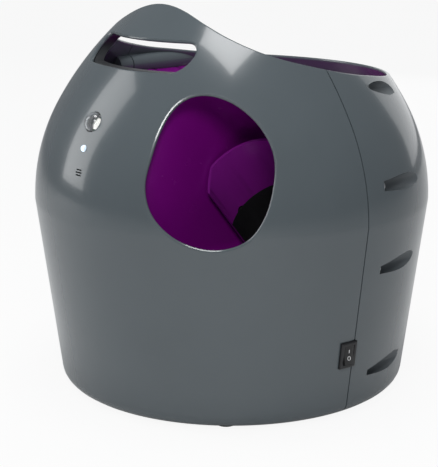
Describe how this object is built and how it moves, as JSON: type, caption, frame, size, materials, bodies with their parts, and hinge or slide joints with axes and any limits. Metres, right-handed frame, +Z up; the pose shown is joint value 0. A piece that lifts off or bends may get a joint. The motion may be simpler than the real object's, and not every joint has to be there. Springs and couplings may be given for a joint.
{
  "type": "automatic dog ball launcher",
  "caption": "Egg-shaped ball launcher with a carry handle, a hopper bowl on top, a tilting spring launcher behind a round opening, a sensor dome and a rocker switch.",
  "frame": {"origin": "on the floor under the vertical axis of the casing", "axes": "+Z up; -Y towards the front with the handle and the sensor; +X on the side of the ball opening and the power switch"},
  "size_m": [0.32, 0.3245, 0.3114],
  "materials": {
    "casing_grey": "glossy metallic slate grey",
    "backing_grey": "satin dark grey",
    "base_black": "fine grained black",
    "foot_rubber": "matt black rubber",
    "screw_steel": "zinc plated",
    "bowl_purple": "satin purple",
    "bay_purple": "satin purple",
    "barrel_purple": "semi-gloss purple",
    "barrel_black": "satin black",
    "bush_white": "natural acetal",
    "pin_steel": "ground steel",
    "plate_black": "black nylon",
    "plunger_white": "natural acetal",
    "gear_white": "natural acetal",
    "pinion_brass": "machined",
    "spring_steel": "bright spring wire",
    "motor_steel": "plated motor can",
    "lens_clear": "clear moulded dome",
    "sensor_can": "plated sensor can",
    "led_clear": "frosted light",
    "sounder_black": "black",
    "board_green": "green solder mask",
    "switch_black": "black nylon",
    "dial_black": "satin black",
    "inlet_black": "black nylon",
    "contact_nickel": "nickel plated",
    "box_black": "black moulded box"
  },
  "bodies": {
    "housing": {"front_shell": "casing_grey", "rear_shell": "casing_grey", "handle_backing": "backing_grey", "base_plate": "base_black", "rubber_feet": "foot_rubber", "base_screws": "screw_steel", "shell_screws": "screw_steel", "hopper_bowl": "bowl_purple", "launch_bay": "bay_purple", "pivot_bushes": "bush_white", "index_plate": "plate_black", "sensor_lens": "lens_clear", "motion_sensor": "sensor_can", "status_led": "led_clear", "speaker": "sounder_black", "sensor_board": "board_green", "switch_housing": "switch_black", "dial_potentiometer": "contact_nickel", "dc_inlet": "inlet_black", "dc_inlet_pin": "contact_nickel", "control_board": "board_green", "board_bracket": "plate_black", "battery_box": "box_black", "battery_contacts": "contact_nickel", "battery_springs": "spring_steel", "door_hinge_pins": "pin_steel"},
    "launcher": {"launch_barrel": "barrel_black", "muzzle_hood": "barrel_purple", "pivot_pins": "pin_steel", "index_arm": "pin_steel", "ball_sensors": "sounder_black", "tail_tube": "barrel_black", "tail_cap": "plate_black", "launch_spring": "spring_steel", "drive_motor": "motor_steel", "gearbox_plate_lower": "plate_black", "gearbox_plate_upper": "plate_black", "gearbox_posts": "pin_steel", "shaft_bushes": "bush_white"},
    "plunger": {"plunger": "plunger_white"},
    "sector_gear": {"sector_gear": "gear_white"},
    "motor_pinion": {"motor_pinion": "pinion_brass"},
    "power_rocker": {"power_rocker": "switch_black"},
    "distance_dial": {"distance_dial": "dial_black"},
    "battery_door": {"battery_door": "casing_grey"}
  },
  "joints": [
    {"name": "launcher_tilt", "type": "hinge", "parent": "housing", "child": "launcher", "pos_m": [0.0953, -0.046, 0.155], "axis": [1, 0, 0], "range_deg": [0, 25]},
    {"name": "sector_spin", "type": "hinge", "parent": "launcher", "child": "sector_gear", "pos_m": [0.0283, 0.02792, 0.06691], "axis": [0, 0.766, 0.6428], "range_deg": [0, 122.2]},
    {"name": "plunger_slide", "type": "slide", "parent": "launcher", "child": "plunger", "axis": [0, 0.6428, -0.766], "range_m": [0, 0.032], "deforming": ["launch_spring"]},
    {"name": "pinion_spin", "type": "hinge", "parent": "launcher", "child": "motor_pinion", "pos_m": [0.0003, 0.02792, 0.06691], "axis": [0, 0.766, 0.6428], "range_deg": [-450, 0]},
    {"name": "power_rocker_tip", "type": "hinge", "parent": "housing", "child": "power_rocker", "pos_m": [0.14445, -0.01697, 0.05421], "axis": [0.1167, 0.9932, 0], "range_deg": [0, 16]},
    {"name": "distance_dial_turn", "type": "hinge", "parent": "housing", "child": "distance_dial", "pos_m": [0, 0.15111, 0.205], "axis": [0, 0.9433, 0.3321], "range_deg": [-120, 120]},
    {"name": "battery_door_hinge", "type": "hinge", "parent": "housing", "child": "battery_door", "pos_m": [-0.03464, 0.13895, 0.015], "axis": [0.9703, 0.2419, 0], "range_deg": [-90, 0]}
  ],
  "couplings": [
    {"joint": "plunger_slide", "follows": "sector_spin", "m_per_rad": 0.015},
    {"joint": "pinion_spin", "follows": "sector_spin", "ratio": -3.6667}
  ]
}
